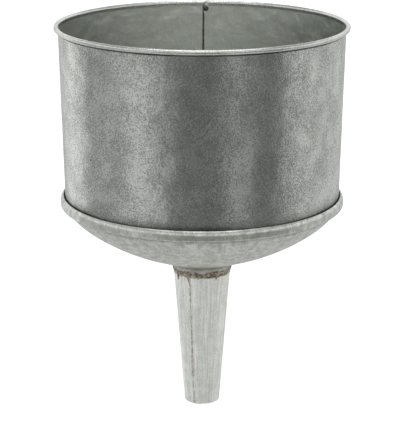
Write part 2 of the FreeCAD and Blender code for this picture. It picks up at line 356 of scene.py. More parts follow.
class Lathe(ShapeTree):
    """Turns a section once round the axis, wavy by hand and closer stepped at a seam."""

    PATH_RADIUS = 50 * MM
    SEAM_TURN = math.radians(87.5)

    def __init__(self) -> None:
        """Build the tree; every turned piece uses it."""
        super().__init__("turned_sheet", Steps="Int", Crowding="Float", Wave_Height="Float",
                         Wave_Length="Float", Wave_Lift="Float", Seed="Float")
        path = self.node("GeometryNodeCurvePrimitiveCircle",
                         {"Resolution": self.input("Steps"), "Radius": self.PATH_RADIUS})
        share = self.math("DIVIDE", self.node("GeometryNodeInputIndex"), self.input("Steps"))
        turn = self.math("MULTIPLY", share, math.tau)
        pull = self.math("MULTIPLY", self.input("Crowding"), self.math("SINE", turn))
        angle = self.math("ADD", self.math("SUBTRACT", turn, pull), self.SEAM_TURN)
        place = self.node("ShaderNodeCombineXYZ", {
            0: self.math("MULTIPLY", self.math("COSINE", angle), self.PATH_RADIUS),
            1: self.math("MULTIPLY", self.math("SINE", angle), self.PATH_RADIUS)})
        path = self.node("GeometryNodeSetPosition",
                         {"Geometry": path, "Position": place})
        section = self.node("GeometryNodeMeshToCurve", {"Mesh": self.input("Geometry")})
        section = self.node("GeometryNodeTransform", {
            "Geometry": section, "Translation": (-self.PATH_RADIUS, 0.0, 0.0)})
        turned = self.node("GeometryNodeCurveToMesh", {"Curve": path, "Profile Curve": section})
        self.finish(self.wave(turned))

    def wave(self, turned: Node) -> Node:
        """Push the turned sheet in and out a little, as hand work leaves it.

        Args:
            turned: The turned sheet.

        Returns:
            The wavy sheet.
        """
        noise = self.node("ShaderNodeTexNoise", {
            "Vector": self.node("GeometryNodeInputPosition"), "W": self.input("Seed"),
            "Detail": 1.0, "Scale": self.math("DIVIDE", 1.0, self.input("Wave_Length"))},
            noise_dimensions="4D").outputs[0]
        reach = self.math("MULTIPLY", self.math("SUBTRACT", noise, 0.5),
                          self.math("MULTIPLY", self.input("Wave_Height"), 2.0))
        outwards = self.vector("NORMALIZE", {0: self.level_place()})
        lift = self.node("ShaderNodeCombineXYZ", {2: self.input("Wave_Lift")})
        push = self.vector("ADD", {0: outwards, 1: lift})
        offset = self.vector("SCALE", {0: push, "Scale": reach})
        return self.node("GeometryNodeSetPosition", {"Geometry": turned, "Offset": offset})

    def turn(self, name: str, corners: Sequence[Point], material: Material,
             steps: int, crowding: float = 0.0, wave: float = 0.0, wave_length: float = 40.0,
             lift: float = 0.0, seed: float = 0.0) -> Object:
        """Turn a section into a closed ring.

        Args:
            name: Name of the piece.
            corners: Radius and height of each corner of the section, in mm.
            material: The piece's material.
            steps: Number of steps round the axis.
            crowding: From 0, even steps, towards 1, very close steps at the back seam.
            wave: How far the sheet strays in or out, in mm.
            wave_length: Size of the waves, in mm.
            lift: How much of a wave goes upwards for each unit outwards.
            seed: Picks one pattern of waves.

        Returns:
            The piece.
        """
        piece = self.apply(name, outline_mesh(f"{name}_section", corners), Steps=steps,
                           Crowding=crowding, Wave_Height=wave * MM,
                           Wave_Length=wave_length * MM, Wave_Lift=lift, Seed=seed,
                           Material=material)
        tidy_shell(piece.data)
        return piece


def sheet_mesh(name: str, middle: np.ndarray, side: np.ndarray,
               thickness: float) -> Mesh:
    """Make an open sheet, as rows and columns of its middle points, into a closed shell.

    Args:
        name: The mesh's name.
        middle: Points of the middle of the sheet, by row and column, in mm.
        side: Unit vectors across the sheet at those points.
        thickness: The sheet's thickness, in mm.

    Returns:
        The closed shell.
    """
    rows, cols = middle.shape[:2]
    skins = [(middle + side * thickness / 2), (middle - side * thickness / 2)]
    points = np.concatenate([skin.reshape(-1, 3) for skin in skins]) * MM

    def corner(skin: int, row: int, col: int) -> int:
        """Give the number of a corner."""
        return (skin * rows + row) * cols + col

    faces = []
    for row in range(rows - 1):
        for col in range(cols - 1):
            faces += [(corner(skin, row, col), corner(skin, row, col + 1),
                       corner(skin, row + 1, col + 1), corner(skin, row + 1, col))
                      for skin in (0, 1)]
        faces += [(corner(0, row, col), corner(0, row + 1, col), corner(1, row + 1, col),
                   corner(1, row, col)) for col in (0, cols - 1)]
    for col in range(cols - 1):
        faces += [(corner(0, row, col), corner(0, row, col + 1), corner(1, row, col + 1),
                   corner(1, row, col)) for row in (0, rows - 1)]
    return shell_mesh(name, points, faces)


def bead_mesh(name: str, rings: np.ndarray, closed: bool) -> Mesh:
    """Join closed sections into a run of solder or the like.

    Args:
        name: The mesh's name.
        rings: Points by section and place in the section, in mm.
        closed: Whether the last section joins the first; otherwise both ends are capped.

    Returns:
        The closed shell.
    """
    rows, cols = rings.shape[:2]
    faces = []
    for row in range(rows if closed else rows - 1):
        following = (row + 1) % rows
        faces += [(row * cols + col, row * cols + (col + 1) % cols,
                   following * cols + (col + 1) % cols, following * cols + col)
                  for col in range(cols)]
    if not closed:
        faces += [tuple(range(cols)), tuple(range((rows - 1) * cols, rows * cols))]
    return shell_mesh(name, rings.reshape(-1, 3) * MM, faces)


def ripple(along: np.ndarray, length: float, seed: int) -> np.ndarray:
    """Give a smooth uneven wave, from about -1 to 1.

    Args:
        along: Where the wave is wanted.
        length: Its typical length, in the same unit.
        seed: Picks one wave.

    Returns:
        The wave's height at each place.
    """
    chance = np.random.default_rng(seed)
    lengths = length * chance.uniform(0.5, 1.8, 6)
    turns = chance.uniform(0.0, math.tau, 6)
    return sum(np.sin(math.tau * along / one + turn) for one, turn in zip(lengths, turns)) / 3.0


def read_all(items: Sequence, name: str, width: int = 1) -> np.ndarray:
    """Read one property of every element of a mesh.

    Args:
        items: The mesh's corners, faces or loops.
        name: The property's name.
        width: How many numbers it has; a single one is read as a whole number.

    Returns:
        The numbers, in one flat row.
    """
    found = np.empty(len(items) * width, dtype=float if width > 1 else np.int64)
    items.foreach_get(name, found)
    return found


def unroll(mesh: Mesh, radius: float) -> None:
    """Give a round piece a map of girth from the back and of run up the sheet, in metres.

    Args:
        mesh: The piece's mesh.
        radius: Radius at which the girth is measured, in mm.
    """
    spots = read_all(mesh.vertices, "co", 3).reshape(-1, 3)
    turn = np.mod(np.arctan2(spots[:, 1], spots[:, 0]) / math.tau - 0.25, 1.0)
    corners, starts, sizes = (read_all(*source) for source in (
        (mesh.loops, "vertex_index"), (mesh.polygons, "loop_start"),
        (mesh.polygons, "loop_total")))
    girth = turn[corners]
    first = np.repeat(girth[starts], sizes)
    girth = girth - np.round(girth - first)
    run = np.hypot(spots[:, 0], spots[:, 1]) + spots[:, 2]
    layer = mesh.uv_layers.new(name="unrolled")
    flat = np.stack([girth * math.tau * radius * MM, run[corners]], axis=1)
    layer.data.foreach_set("uv", flat.ravel())


def read_points(mesh: Mesh) -> np.ndarray:
    """Read a mesh's corners, in mm, one row for each."""
    return read_all(mesh.vertices, "co", 3).reshape(-1, 3) / MM


def write_points(mesh: Mesh, spots: np.ndarray) -> None:
    """Write a mesh's corners, given in mm, one row for each."""
    mesh.vertices.foreach_set("co", (spots * MM).ravel())
    mesh.update()


def read_round(spots: np.ndarray) -> tuple[np.ndarray, np.ndarray, np.ndarray]:
    """Give each corner's radius, its direction in degrees and its height."""
    return (np.hypot(spots[:, 0], spots[:, 1]),
            np.degrees(np.arctan2(spots[:, 1], spots[:, 0])), spots[:, 2])


def set_layer(mesh: Mesh, name: str, amount: np.ndarray) -> None:
    """Note a number on each corner, for the finishes to read.

    Args:
        mesh: The mesh.
        name: The layer: painted shade, how far the corner is darkened where shade falls, or smoother
            zinc, how smooth it is, with a lighter tone that is partly painted light.
        amount: From 0, none, to 1, full.
    """
    layer = mesh.attributes.new(name, "FLOAT", "POINT")
    layer.data.foreach_set("value", np.clip(amount, 0.0, 1.0).astype(np.float32))


# ---- finishes -----------------------------------------------------------------------


class SurfaceTree(NodeWriter):
    """A material's node tree, with patterns measured in mm on the finished piece."""

    def __init__(self, name: str) -> None:
        """Start a material.

        Args:
            name: The material's name.
        """
        self.material = bpy.data.materials.new(name)
        self.material.use_nodes = True
        super().__init__(self.material.node_tree)
        self.tree.nodes.clear()
        self.place = self.node("ShaderNodeTexCoord").outputs["Object"]
        self.flat = self.node("ShaderNodeUVMap", uv_map="unrolled").outputs[0]
        # Painted shade: a layer that darkens creases, hollows and slits where shade falls.
        self.painted_shade = self.node("ShaderNodeAttribute", attribute_name="painted_shade").outputs["Fac"]
        # Smoother zinc, lighter in tone: the lighter tone is partly painted light inside the hopper.
        self.clean = self.node("ShaderNodeAttribute", attribute_name="clean").outputs["Fac"]

    def noise(self, size: float, detail: float = 2.0, rough: float = 0.55,
              shift: float = 0.0) -> NodeSocket:
        """Add an even noise.

        Args:
            size: Size of its features, in mm.
            detail: Levels of finer noise.
            rough: Strength of the finer levels.
            shift: Moves the pattern, in mm, so that two noises differ.

        Returns:
            The noise, around 0.5.
        """
        moved = self.node("ShaderNodeMapping", {
            "Vector": self.place, "Location": (shift * MM, 0.0, 0.0),
            "Scale": (1 / (size * MM),) * 3})
        return self.node("ShaderNodeTexNoise", {
            "Vector": moved, "Scale": 1.0, "Detail": detail,
            "Roughness": rough}).outputs[0]

    def streaks(self, width: float, length: float, turn: float = 0.0,
                detail: float = 2.0) -> NodeSocket:
        """Add a noise drawn out along one direction of the unrolled sheet.

        Args:
            width: Width of a streak, in mm.
            length: Length of a streak, in mm.
            turn: Lean of the streaks from upright, in degrees.
            detail: Levels of finer noise.

        Returns:
            The noise, around 0.5.
        """
        turned = self.node("ShaderNodeMapping", {
            "Vector": self.flat, "Rotation": (0.0, 0.0, math.radians(turn)),
            "Scale": (width * MM, length * MM, 1.0)}, vector_type="TEXTURE")
        return self.node("ShaderNodeTexNoise", {
            "Vector": turned, "Scale": 1.0, "Detail": detail}).outputs[0]

    def bump(self, height: NodeSocket, depth: float,
             under: Optional[NodeSocket] = None) -> NodeSocket:
        """Raise the surface by a height.

        Args:
            height: The height, from 0 to 1.
            depth: How many mm a height of 1 stands for.
            under: An earlier bump to add to.

        Returns:
            The new surface direction.
        """
        inputs = {"Strength": 1.0, "Distance": depth * MM, "Height": height}
        if under is not None:
            inputs["Normal"] = under
        return self.node("ShaderNodeBump", inputs).outputs[0]

    def close(self, colour: NodeSocket, roughness: NodeSocket,
              normal: NodeSocket, metallic: float) -> Material:
        """End the tree in the shader.

        Args:
            colour: Base colour.
            roughness: Roughness.
            normal: Surface direction.
            metallic: How metallic the surface is.

        Returns:
            The material.
        """
        shader = self.node("ShaderNodeBsdfPrincipled", {
            "Base Color": colour, "Roughness": roughness, "Normal": normal,
            "Metallic": metallic})
        self.node("ShaderNodeOutputMaterial", {"Surface": shader})
        return self.material


def opaque(colour: Colour) -> tuple[float, float, float, float]:
    """Give a colour full opacity."""
    return (*colour, 1.0)


@dataclass(frozen=True)
class ZincFinish:
    """Weathered zinc on steel sheet: grain, clouds, upright streaks and scratches."""

    name: str
    light: Colour
    dark: Colour
    metallic: float
    roughness: float
    roughness_spread: float = 0.12
    grain_size: float = 0.9
    grain_depth: float = 0.02
    grain_contrast: float = 0.5
    cloud_size: float = 9.0
    streak_width: float = 2.2
    streak_length: float = 60.0
    streak_share: float = 0.4
    dent_size: float = 7.0
    dent_depth: float = 0.03
    scratch_leans: tuple[float, ...] = (38.0, -52.0)
    scratch_width: float = 0.55
    scratch_length: float = 26.0
    scratch_light: float = 0.35
    scratch_depth: float = 0.01
    # Smoother zinc takes over this share and is lifted to this tone; the lift is partly painted
    # light.
    smoothing_share: float = 0.75
    painted_light_tone: float = 0.9
    inside_dulling: float = 0.15
    # Roughness added where shade is painted.
    painted_shade_dulling: float = 0.4

    def scratches(self, tree: SurfaceTree) -> NodeSocket:
        """Draw fine scratches that lean both ways.

        Args:
            tree: The material's tree.

        Returns:
            1 on a scratch and 0 elsewhere.
        """
        total = None
        for lean in self.scratch_leans:
            line = tree.streaks(self.scratch_width, self.scratch_length, lean, 0.0)
            line = tree.smooth_step(line, 0.72, 0.80)
            total = line if total is None else tree.math("MAXIMUM", total, line)
        return total

    def tone(self, tree: SurfaceTree) -> NodeSocket:
        """Mix clouds, streaks and grain into one tone.

        Args:
            tree: The material's tree.

        Returns:
            The tone, from 0, dark, to 1, light.
        """
        clouds = tree.noise(self.cloud_size, 3.0)
        streaks = tree.streaks(self.streak_width, self.streak_length)
        grain = tree.noise(self.grain_size, 2.0, 0.7)
        blend = tree.math("ADD", tree.math("MULTIPLY", clouds, 1.0 - self.streak_share),
                          tree.math("MULTIPLY", streaks, self.streak_share))
        speck = tree.math("MULTIPLY", tree.math("SUBTRACT", grain, 0.5), self.grain_contrast)
        return tree.smooth_step(tree.math("ADD", blend, speck), 0.25, 0.75)

    def stain(self, tree: SurfaceTree, colour: NodeSocket) -> NodeSocket:
        """Leave the sheet unstained; other finishes add their own marks here."""
        return colour

    def material(self) -> Material:
        """Build the material.

        Returns:
            The material.
        """
        tree = SurfaceTree(self.name)
        tone = self.tone(tree)
        # Where the zinc is marked smoother, the grain is calmed and the tone lifted towards a light
        # value; the lift is partly painted light inside the hopper.
        clean = tree.math("MULTIPLY", tree.clean, self.smoothing_share)
        rough_part = tree.math("SUBTRACT", 1.0, clean)
        tone = tree.math("ADD", tree.math("MULTIPLY", tone, rough_part),
                         tree.math("MULTIPLY", clean, self.painted_light_tone))
        marks = self.scratches(tree)
        colour = tree.mix(tone, opaque(self.dark), opaque(self.light))
        colour = tree.mix(tree.math("MULTIPLY", marks, self.scratch_light), colour,
                          opaque(SCRATCH))
        colour = self.stain(tree, colour)
        # Painted shade: near-black where the shade layer marks creases, hollows and slits.
        colour = tree.mix(tree.painted_shade, colour, opaque(PAINTED_SHADE_COLOUR))
        spread = tree.math("MULTIPLY", tree.math("SUBTRACT", 0.5, tone), self.roughness_spread)
        roughness = tree.math("ADD", spread, self.roughness)
        inside = tree.smooth_step(tree.clean, 0.7, 1.0)
        roughness = tree.math("ADD", roughness,
                              tree.math("MULTIPLY", inside, self.inside_dulling))
        roughness = tree.math("ADD", roughness,
                              tree.math("MULTIPLY", tree.painted_shade, self.painted_shade_dulling))
        normal = tree.bump(tree.noise(self.dent_size, 2.0, 0.5, 31.0), self.dent_depth)
        grain = tree.math("MULTIPLY", tree.noise(self.grain_size, 2.0, 0.6, 77.0), rough_part)
        normal = tree.bump(grain, self.grain_depth, normal)
        normal = tree.bump(tree.math("SUBTRACT", 1.0, marks), self.scratch_depth, normal)
        return tree.close(colour, roughness, normal, self.metallic)


@dataclass(frozen=True)
class BowlFinish(ZincFinish):
    """The bowl's zinc, with a brown flux stain that spreads from the neck."""

    stain_colour: Colour = (0.26, 0.22, 0.16)
    stain_reach: float = 64.0
    stain_fade: float = 30.0
    stain_share: float = 0.38
    stain_unevenness: float = 14.0

    def stain(self, tree: SurfaceTree, colour: NodeSocket) -> NodeSocket:
        """Brown the sheet round the neck, in uneven blots.

        Args:
            tree: The material's tree.
            colour: The colour so far.

        Returns:
            The stained colour.
        """
        parts = tree.node("ShaderNodeSeparateXYZ", {0: tree.place})
        flat = tree.node("ShaderNodeCombineXYZ", {0: parts.outputs[0], 1: parts.outputs[1]})
        radius = tree.vector("LENGTH", {0: flat}).outputs[1]
        blot = tree.math("MULTIPLY", tree.math("SUBTRACT", tree.noise(5.0, 3.0, 0.6, 12.0), 0.5),
                         self.stain_unevenness * MM)
        near = tree.smooth_step(tree.math("ADD", radius, blot), self.stain_reach * MM,
                                (self.stain_reach - self.stain_fade) * MM)
        return tree.mix(tree.math("MULTIPLY", near, self.stain_share), colour,
                        opaque(self.stain_colour))


@dataclass(frozen=True)
class SolderFinish:
    """Wiped solder: soft lumps, dull skin and brown flux where it was heated."""

    name: str
    light: Colour
    dark: Colour
    roughness: float
    metallic: float = 0.85

    def material(self) -> Material:
        """Build the material.

        Returns:
            The material.
        """
        tree = SurfaceTree(self.name)
        tone = tree.smooth_step(tree.noise(3.2, 3.0, 0.65), 0.36, 0.64)
        colour = tree.mix(tone, opaque(self.dark), opaque(self.light))
        # Painted shade: near-black where the shade layer marks the solder in the seam's groove.
        colour = tree.mix(tree.painted_shade, colour, opaque(PAINTED_SHADE_COLOUR))
        spread = tree.math("MULTIPLY", tree.math("SUBTRACT", 0.5, tone), 0.2)
        roughness = tree.math("ADD", spread, self.roughness)
        normal = tree.bump(tree.noise(1.8, 2.0, 0.5, 9.0), 0.12)
        normal = tree.bump(tree.noise(0.6, 1.0, 0.5, 5.0), 0.02, normal)
        return tree.close(colour, roughness, normal, self.metallic)


@dataclass(frozen=True)
class WireFinish:
    """Drawn steel wire with a thin grey skin."""

    name: str = "rim_wire_steel"
    light: Colour = (0.52, 0.52, 0.51)
    dark: Colour = (0.30, 0.29, 0.28)

    def material(self) -> Material:
        """Build the material.

        Returns:
            The material.
        """
        tree = SurfaceTree(self.name)
        tone = tree.smooth_step(tree.noise(2.0, 3.0), 0.35, 0.65)
        colour = tree.mix(tone, opaque(self.dark), opaque(self.light))
        roughness = tree.math("ADD", tree.math("MULTIPLY", tone, -0.1), 0.45)
        return tree.close(colour, roughness, tree.bump(tone, 0.01), 0.95)


class Finish(Enum):
    """Every finish on the funnel, by the record's slot that it belongs to."""

    HOPPER = "hopper_sheet"
    BOWL = "bowl_sheet"
    SPOUT = "spout_sheet"
    WIRE = "wire"
    SOLDER = "solder"
    NECK = "neck_solder"


def make_finishes() -> dict[Finish, Material]:
    """Build every material once.

    Returns:
        Finish to material.
    """
    recipes = {
        Finish.HOPPER: ZincFinish("hopper_zinc", (0.81, 0.835, 0.795), (0.40, 0.418, 0.39),
                                  metallic=1.0, roughness=0.20, grain_size=1.2,
                                  grain_depth=0.18, grain_contrast=2.2, cloud_size=20.0,
                                  streak_share=0.12, dent_size=17.0, dent_depth=0.8),
        Finish.BOWL: BowlFinish("bowl_zinc", (0.84, 0.86, 0.81), (0.46, 0.48, 0.44),
                                metallic=0.95, roughness=0.34, grain_size=1.1,
                                grain_contrast=0.8, cloud_size=6.0, dent_size=8.0,
                                dent_depth=0.3, streak_share=0.2),
        Finish.SPOUT: ZincFinish("spout_zinc", (0.88, 0.90, 0.86), (0.54, 0.55, 0.52),
                                 metallic=0.5, roughness=0.42, grain_contrast=0.7,
                                 streak_width=1.6, streak_length=40.0, streak_share=0.6),
        Finish.WIRE: WireFinish(),
        Finish.SOLDER: SolderFinish("joint_solder", (0.68, 0.66, 0.61), (0.40, 0.37, 0.32), 0.38),
        Finish.NECK: SolderFinish("neck_solder_skin", (0.50, 0.46, 0.37), (0.16, 0.13, 0.09), 0.42),
    }
    return {finish: recipe.material() for finish, recipe in recipes.items()}


def dress(piece: Object, finish: Finish, girth: float, *nodes: str) -> None:
    """Unroll a piece, tie it to the body and hide the CAD nodes it stands for.

    Args:
        piece: The finished piece.
        finish: The finish it wears; not used here.
        girth: Radius at which its girth is measured, in mm.
        nodes: CAD nodes that it replaces.
    """
    unroll(piece.data, girth)
    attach(piece, BODY)
    if nodes:
        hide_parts(*nodes)
    log.info("%s: %d corners, %d faces", piece.name, len(piece.data.vertices),
             len(piece.data.polygons))


def dress_shell(mesh: Mesh, finishes: dict[Finish, Material], finish: Finish, girth: float,
                *nodes: str) -> None:
    """Put a closed shell into the scene in its material, and dress it.

    Args:
        mesh: The shell, whose name is the piece's.
        finishes: Every material.
        finish: The finish it wears.
        girth: Radius at which its girth is measured, in mm.
        nodes: CAD nodes that it replaces.
    """
    mesh.materials.append(finishes[finish])
    dress(link_object(mesh.name, mesh), finish, girth, *nodes)


# ---- the hopper ---------------------------------------------------------------------


@dataclass
class Hopper:
    """The deep tapered wall: wired rim above, turned edge below, lock seam behind."""

    lathe: Lathe
    finishes: dict[Finish, Material]
    thickness: float = 0.6
    foot: Point = (119.7, 188.0)
    neck: Point = (123.1, 339.25)
    bead: Point = (124.85, 342.15)
    curl_radius: float = 1.85
    curl_edge: float = -122.0
    curl_join: float = 182.0
    turn_radius: float = 1.45
    flange_top: float = 190.8
    seam_turn: float = -2.5
    seam_span: Point = (196.5, 339.6)
    seam_left: Point = (-5.4, -4.15)
    seam_right: float = 3.5
    seam_rise: float = 1.95
    groove_at: float = -4.1
    groove_depth: float = 0.85
    notch_at: Point = (-1.8, 337.3)
    notch_radius: float = 2.6
    notch_end: float = 123.45
    notch_depth: float = 10.0
    wall_runs: tuple[Point, ...] = ((333.8, 0.55), (198.2, 4.2), (195.2, 0.5), (188.0, 1.6))
    seam_heights: Point = (194.9, 339.9)
    bead_top: float = 344.35
    bead_reach: float = 2.45
    bead_foot: float = 340.0
    steps: int = 470

    def wall_radius(self, height: np.ndarray) -> np.ndarray:
        """Give the radius of the middle of the wall at a height."""
        share = (height - self.foot[1]) / (self.neck[1] - self.foot[1])
        return self.foot[0] + share * (self.neck[0] - self.foot[0])

    def section(self) -> list[Point]:
        """Draw the wall's section from the curl's edge down to the turned flange.

        Returns:
            The closed outline.
        """
        edge = math.radians(self.curl_edge)
        line = MiddleLine(self.bead[0] + self.curl_radius * math.cos(edge),
                          self.bead[1] + self.curl_radius * math.sin(edge))
        line.arc(self.curl_radius, self.curl_edge, self.curl_join, 14.0)
        line.line_to(*self.neck, step=0.8)
        for height, step in self.wall_runs:
            line.line_to(float(self.wall_radius(np.array(height))), height, step)
        line.arc(self.turn_radius, 180.0, 360.0, 22.5)
        return line.line_to(line.points[-1][0], self.flange_top, 1.8).thicken(self.thickness)

    def turn_seam(self, spots: np.ndarray, back: bool = False) -> np.ndarray:
        """Turn corners so that the lock seam is straight behind, or back again.

        Args:
            spots: The wall's corners.
            back: Whether to turn them back.

        Returns:
            The turned corners.
        """
        angle = math.radians(self.seam_turn) * (1 if back else -1)
        cos, sin = math.cos(angle), math.sin(angle)
        return np.stack([spots[:, 0] * cos - spots[:, 1] * sin,
                         spots[:, 0] * sin + spots[:, 1] * cos, spots[:, 2]], axis=1)

    def shape_seam(self, spots: np.ndarray) -> np.ndarray:
        """Raise the lock seam outside and sink its groove inside.

        Args:
            spots: The wall's corners, with the seam straight behind.

        Returns:
            The moved corners.
        """
        across, (radius, _, height) = spots[:, 0], read_round(spots)
        away = radius - self.wall_radius(height)
        on_wall = ((spots[:, 1] > 0) & (np.abs(away) < 0.6) & (height > self.seam_heights[0])
                   & (height < self.seam_heights[1]))
        left = np.clip((across - self.seam_left[0]) / (self.seam_left[1] - self.seam_left[0]), 0, 1)
        left = left * left * (3 - 2 * left)
        ends = (np.clip((height - self.seam_span[0]) / 0.4, 0, 1)
                * np.clip((self.seam_span[1] - height) / 0.4, 0, 1))
        rise = self.seam_rise * left * (across < self.seam_right) * ends
        groove = self.groove_depth * ends * np.exp(-((across - self.groove_line(height)) / 0.62) ** 2)
        push = np.where(on_wall, np.where(away > 0, rise, groove), 0.0)
        spots[:, :2] *= (1 + push / np.maximum(radius, 1.0))[:, None]
        return spots

    def groove_line(self, height: np.ndarray) -> np.ndarray:
        """Give how far aside the groove runs at a height, as it wanders a little."""
        return self.groove_at + 0.14 * ripple(height, 22.0, 4)

    def find_bead(self, spots: np.ndarray) -> tuple[np.ndarray, np.ndarray, np.ndarray]:
        """Measure each corner from the bead's centre.

        Args:
            spots: The wall's corners, with the seam straight behind.

        Returns:
            How far out and how far up each corner is, and whether it is on the rear bead.
        """
        out, up = np.hypot(spots[:, 0], spots[:, 1]) - self.bead[0], spots[:, 2] - self.bead[1]
        return out, up, ((spots[:, 1] > 0) & (np.hypot(out, up) < self.bead_reach)
                         & (spots[:, 2] > self.bead_foot))

    def bead_slit(self, spots: np.ndarray) -> np.ndarray:
        """Say how near each corner is to the slanted slit where the curl's ends meet.

        Args:
            spots: The wall's corners, with the seam straight behind.

        Returns:
            From 0, away from it, to 1, on it.
        """
        out, up, on_bead = self.find_bead(spots)
        slant = self.groove_at + 0.3 + (np.clip(out + up, -3.0, 2.5) + 3.0) * 0.95
        return np.where(on_bead, np.exp(-((spots[:, 0] - slant) / 0.42) ** 2), 0.0)

    def shape_bead(self, spots: np.ndarray) -> np.ndarray:
        """Let the curl's two ends meet over the seam, one lapped a little over the other.

        Args:
            spots: The wall's corners, with the seam straight behind.

        Returns:
            The moved corners.
        """
        across, radius = spots[:, 0], read_round(spots)[0]
        out, up, on_bead = self.find_bead(spots)
        reach = np.hypot(out, up)
        lap = np.clip((across + 12.0) / 9.0, 0, 1) * np.clip((2.0 - across) / 1.5, 0, 1) * 0.3
        grow = np.where(on_bead, (lap - 0.5 * self.bead_slit(spots)) / np.maximum(reach, 0.5), 0.0)
        spots[:, :2] *= (1 + out * grow / np.maximum(radius, 1.0))[:, None]
        spots[:, 2] = np.minimum(spots[:, 2] + up * grow, self.bead_top)
        return spots

    def find_painted_shade(self, spots: np.ndarray) -> np.ndarray:
        """Find where shade is painted: under the curl, above the ring, in the seam's groove, its
        notch and the bead's slit.

        Args:
            spots: The wall's corners, with the seam straight behind.

        Returns:
            The amount of painted shade on each corner.
        """
        radius, turn, height = read_round(spots)
        away = radius - self.wall_radius(height)
        outside = (away > 0.1) & (height < 341.2)
        # Painted shade in the crevice under the curl, a little uneven round the rim.
        under = (np.clip((height - 338.3) / 0.5, 0, 1) * (0.93 + 0.07 * ripple(turn, 25.0, 51))
                 * (radius < 124.4))
        # Painted shade above the ring, darker towards the bottom and darkest at the front.
        front = 0.45 + 0.42 * np.exp(-((turn + 90.0) / 17.0) ** 2)
        foot = (np.clip((205.0 - height) / 8.5, 0, 1) ** 1.5 * front
                * (0.93 + 0.07 * ripple(turn, 18.0, 52)))
        painted_shade = np.where(outside, np.maximum(under, foot), 0.0)
        # Painted shade along the seam's groove inside.
        inside = (away < -0.1) & (height > 195.0) & (height < 340.0) & (spots[:, 1] > 0)
        near = np.abs(spots[:, 0] - self.groove_line(height))
        painted_shade = np.where(inside & (away > -0.6), np.maximum(painted_shade, 0.75 * (near < 0.8)), painted_shade)
        # Painted shade in the notch, darkest in its lower part.
        hollow = np.hypot(spots[:, 0] - self.notch_at[0], height - self.notch_at[1])
        in_notch = ((hollow < self.notch_radius + 0.03) & (radius > 122.95) & (radius < 123.6)
                    & (spots[:, 1] > 0))
        notch_shade = np.where(height < self.notch_at[1] + 0.4, 0.95, 0.5)
        painted_shade = np.where(in_notch, notch_shade, painted_shade)
        # Painted shade in the bead's slit.
        return np.maximum(painted_shade, 0.9 * self.bead_slit(spots))

    def cut_notch(self, wall: Object) -> None:
        """Sink the small blind hollow that the clipped corner leaves under the curl.

        Args:
            wall: The wall, which is changed.
        """
        tool = bmesh.new()
        bmesh.ops.create_cone(tool, cap_ends=True, segments=36, radius1=self.notch_radius * MM,
                              radius2=self.notch_radius * MM, depth=self.notch_depth * MM)
        place = Euler((math.pi / 2, 0.0, 0.0)).to_matrix().to_4x4()
        place.translation = Vector((self.notch_at[0], self.notch_end - self.notch_depth / 2,
                                    self.notch_at[1])) * MM
        swing = Euler((0.0, 0.0, math.radians(self.seam_turn))).to_matrix().to_4x4()
        bmesh.ops.transform(tool, matrix=swing @ place, verts=tool.verts)
        mesh = bpy.data.meshes.new("clipped_corner")
        tool.to_mesh(mesh)
        tool.free()
        cutter = link_object("clipped_corner", mesh)
        modifier = wall.modifiers.new("clipped_corner", "BOOLEAN")
        modifier.object, modifier.solver = cutter, "EXACT"
        graph = bpy.context.evaluated_depsgraph_get()
        cut = bpy.data.meshes.new_from_object(wall.evaluated_get(graph), depsgraph=graph)
        wall.modifiers.remove(modifier)
        wall.data = cut
        bpy.data.objects.remove(cutter)
        cut.set_sharp_from_angle(angle=CREASE)

    def make_wall(self) -> None:
        """Turn the wall, work its seam and rim, and dress it."""
        material = self.finishes[Finish.HOPPER]
        wall = self.lathe.turn("hopper_sheet_wall", self.section(), material, self.steps,
                               crowding=0.72, wave=0.22, wave_length=46.0, seed=3.0)
        spots = self.shape_bead(self.shape_seam(self.turn_seam(read_points(wall.data))))
        write_points(wall.data, self.turn_seam(spots, back=True))
        self.cut_notch(wall)
        spots = self.turn_seam(read_points(wall.data))
        # Painted shade in the crevices, groove, notch and slit, and above the ring.
        set_layer(wall.data, "painted_shade", self.find_painted_shade(spots))
        radius, _, height = read_round(spots)
        inside = radius - self.wall_radius(height) < 0
        # Smoother zinc inside, and less so on the bead; its lighter tone is partly painted light.
        set_layer(wall.data, "clean", np.where(height > self.bead_foot + 0.2, 0.6, inside))
        dress(wall, Finish.HOPPER, self.neck[0], "hopper_wall")

    def make_seam_solder(self) -> None:
        """Lay the thin uneven skin of solder in the groove of the lock seam."""
        heights = np.arange(self.seam_span[0] + 0.6, self.notch_at[1] - self.notch_radius, 1.2)
        middle = self.wall_radius(heights)
        width = 0.75 + 0.22 * ripple(heights, 9.0, 11)
        depth = 0.05 + 0.12 * ripple(heights, 6.0, 12)
        centre = self.groove_line(heights)
        inner = middle - self.thickness / 2
        ring = np.array([(-1.0, 0.38), (-0.5, 0.12), (0.0, 0.0), (0.5, 0.12), (1.0, 0.38),
                         (0.5, 0.75), (0.0, 0.9), (-0.5, 0.75)])
        across = centre[:, None] + width[:, None] * ring[None, :, 0]
        out = inner[:, None] + 0.12 + depth[:, None] + ring[None, :, 1] * 0.55
        rings = np.stack([across, np.sqrt(out ** 2 - across ** 2),
                          np.repeat(heights[:, None], len(ring), axis=1)], axis=2)
        rings = self.turn_seam(rings.reshape(-1, 3), back=True).reshape(rings.shape)
        mesh = bead_mesh("lock_seam_solder", rings, False)
        # The whole solder skin is painted dark, as shade in the groove.
        set_layer(mesh, "painted_shade", np.full(len(mesh.vertices), 0.8))
        dress_shell(mesh, self.finishes, Finish.SOLDER, self.neck[0], "hopper_seam_solder")

    def dress_wire(self, node: Object) -> None:
        """Give the rim wire, which keeps its CAD shape, its own finish.

        Args:
            node: The CAD node's object.
        """
        for place in node.material_slots:
            place.material = self.finishes[Finish.WIRE]
        if not node.material_slots:
            node.data.materials.append(self.finishes[Finish.WIRE])
        log.info("rim_wire: dressed")

